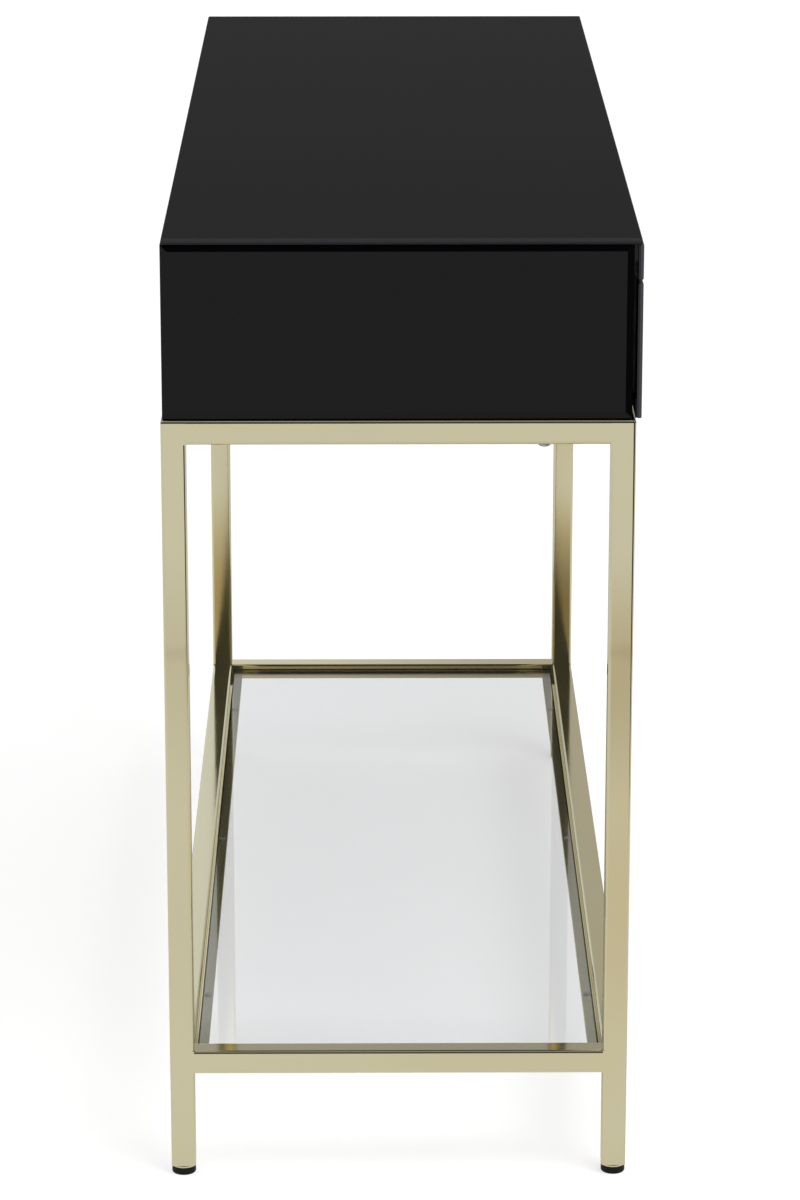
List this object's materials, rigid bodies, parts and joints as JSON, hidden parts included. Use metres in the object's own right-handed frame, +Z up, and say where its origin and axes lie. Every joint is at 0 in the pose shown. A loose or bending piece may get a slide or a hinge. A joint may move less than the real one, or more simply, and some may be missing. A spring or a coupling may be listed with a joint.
{
  "type": "vanity table",
  "caption": "Slim console vanity table: drawer box clad in black glass with push-open drawers, on a polished pale gold square-tube frame with a recessed clear glass shelf.",
  "frame": {"origin": "on the floor, at the centre of the table's outline seen from above", "axes": "+X along the length to the right-hand end, the drawers open towards -Y, +Z up; left and right as seen from the front"},
  "size_m": [1.1, 0.384, 0.8],
  "materials": {
    "champagne_gold": "polished champagne gold plating on steel tube",
    "black_glass": "black back-painted glass, polished edges",
    "clear_glass": "clear float glass, polished edges",
    "clear_bumper": "clear soft bumper",
    "black_lacquer": "satin black lacquered fibreboard",
    "drawer_ply": "clear-lacquered birch plywood",
    "zinc_steel": "bright zinc plated steel",
    "brass_insert": "turned brass",
    "black_plastic": "moulded black plastic",
    "latch_plastic": "moulded grey plastic"
  },
  "bodies": {
    "table": {"leg_front_left": "champagne_gold", "foot_glide_front_left": "black_plastic", "leg_front_right": "champagne_gold", "foot_glide_front_right": "black_plastic", "leg_rear_left": "champagne_gold", "foot_glide_rear_left": "black_plastic", "leg_rear_right": "champagne_gold", "foot_glide_rear_right": "black_plastic", "top_rail_front": "champagne_gold", "top_rail_rear": "champagne_gold", "top_rail_left": "champagne_gold", "top_rail_right": "champagne_gold", "shelf_rail_front": "champagne_gold", "shelf_rail_rear": "champagne_gold", "shelf_rail_left": "champagne_gold", "shelf_rail_right": "champagne_gold", "shelf_ledge_front": "champagne_gold", "shelf_ledge_rear": "champagne_gold", "shelf_ledge_left": "champagne_gold", "shelf_ledge_right": "champagne_gold", "shelf_glass": "clear_glass", "shelf_pads": "clear_bumper", "frame_bolts": "zinc_steel", "threaded_inserts": "brass_insert", "carcass_base": "black_lacquer", "carcass_top": "black_lacquer", "carcass_end_left": "black_lacquer", "carcass_end_right": "black_lacquer", "carcass_back": "black_lacquer", "carcass_divider": "black_lacquer", "carcass_front_rail": "black_lacquer", "top_glass": "black_glass", "end_glass_left": "black_glass", "end_glass_right": "black_glass", "front_strip_glass": "black_glass", "cabinet_runner_screws": "zinc_steel", "left_drawer_cabinet_runners": "zinc_steel", "left_drawer_latch_housing": "latch_plastic", "right_drawer_cabinet_runners": "zinc_steel", "right_drawer_latch_housing": "latch_plastic"},
    "left_drawer": {"left_drawer_front_board": "black_lacquer", "left_drawer_front_glass": "black_glass", "left_drawer_side_left": "drawer_ply", "left_drawer_side_right": "drawer_ply", "left_drawer_back": "drawer_ply", "left_drawer_bottom": "drawer_ply", "left_drawer_inner_runners": "zinc_steel", "left_drawer_runner_screws": "zinc_steel"},
    "left_middle_runners": {"left_drawer_middle_runners": "zinc_steel"},
    "left_latch_plunger": {"left_drawer_latch_plunger": "latch_plastic"},
    "right_drawer": {"right_drawer_front_board": "black_lacquer", "right_drawer_front_glass": "black_glass", "right_drawer_side_left": "drawer_ply", "right_drawer_side_right": "drawer_ply", "right_drawer_back": "drawer_ply", "right_drawer_bottom": "drawer_ply", "right_drawer_inner_runners": "zinc_steel", "right_drawer_runner_screws": "zinc_steel"},
    "right_middle_runners": {"right_drawer_middle_runners": "zinc_steel"},
    "right_latch_plunger": {"right_drawer_latch_plunger": "latch_plastic"}
  },
  "joints": [
    {"name": "left_drawer_slide", "type": "slide", "parent": "table", "child": "left_drawer", "axis": [0, -1, 0], "range_m": [0, 0.28]},
    {"name": "left_middle_runner_slide", "type": "slide", "parent": "table", "child": "left_middle_runners", "axis": [0, -1, 0], "range_m": [0, 0.14]},
    {"name": "left_latch_press", "type": "slide", "parent": "table", "child": "left_latch_plunger", "axis": [0, 1, 0], "range_m": [0, 0.003], "stiffness_N_per_m": 500, "springref_m": -0.003},
    {"name": "right_drawer_slide", "type": "slide", "parent": "table", "child": "right_drawer", "axis": [0, -1, 0], "range_m": [0, 0.28]},
    {"name": "right_middle_runner_slide", "type": "slide", "parent": "table", "child": "right_middle_runners", "axis": [0, -1, 0], "range_m": [0, 0.14]},
    {"name": "right_latch_press", "type": "slide", "parent": "table", "child": "right_latch_plunger", "axis": [0, 1, 0], "range_m": [0, 0.003], "stiffness_N_per_m": 500, "springref_m": -0.003}
  ],
  "couplings": [
    {"joint": "left_middle_runner_slide", "follows": "left_drawer_slide", "ratio": 0.5},
    {"joint": "right_middle_runner_slide", "follows": "right_drawer_slide", "ratio": 0.5}
  ]
}
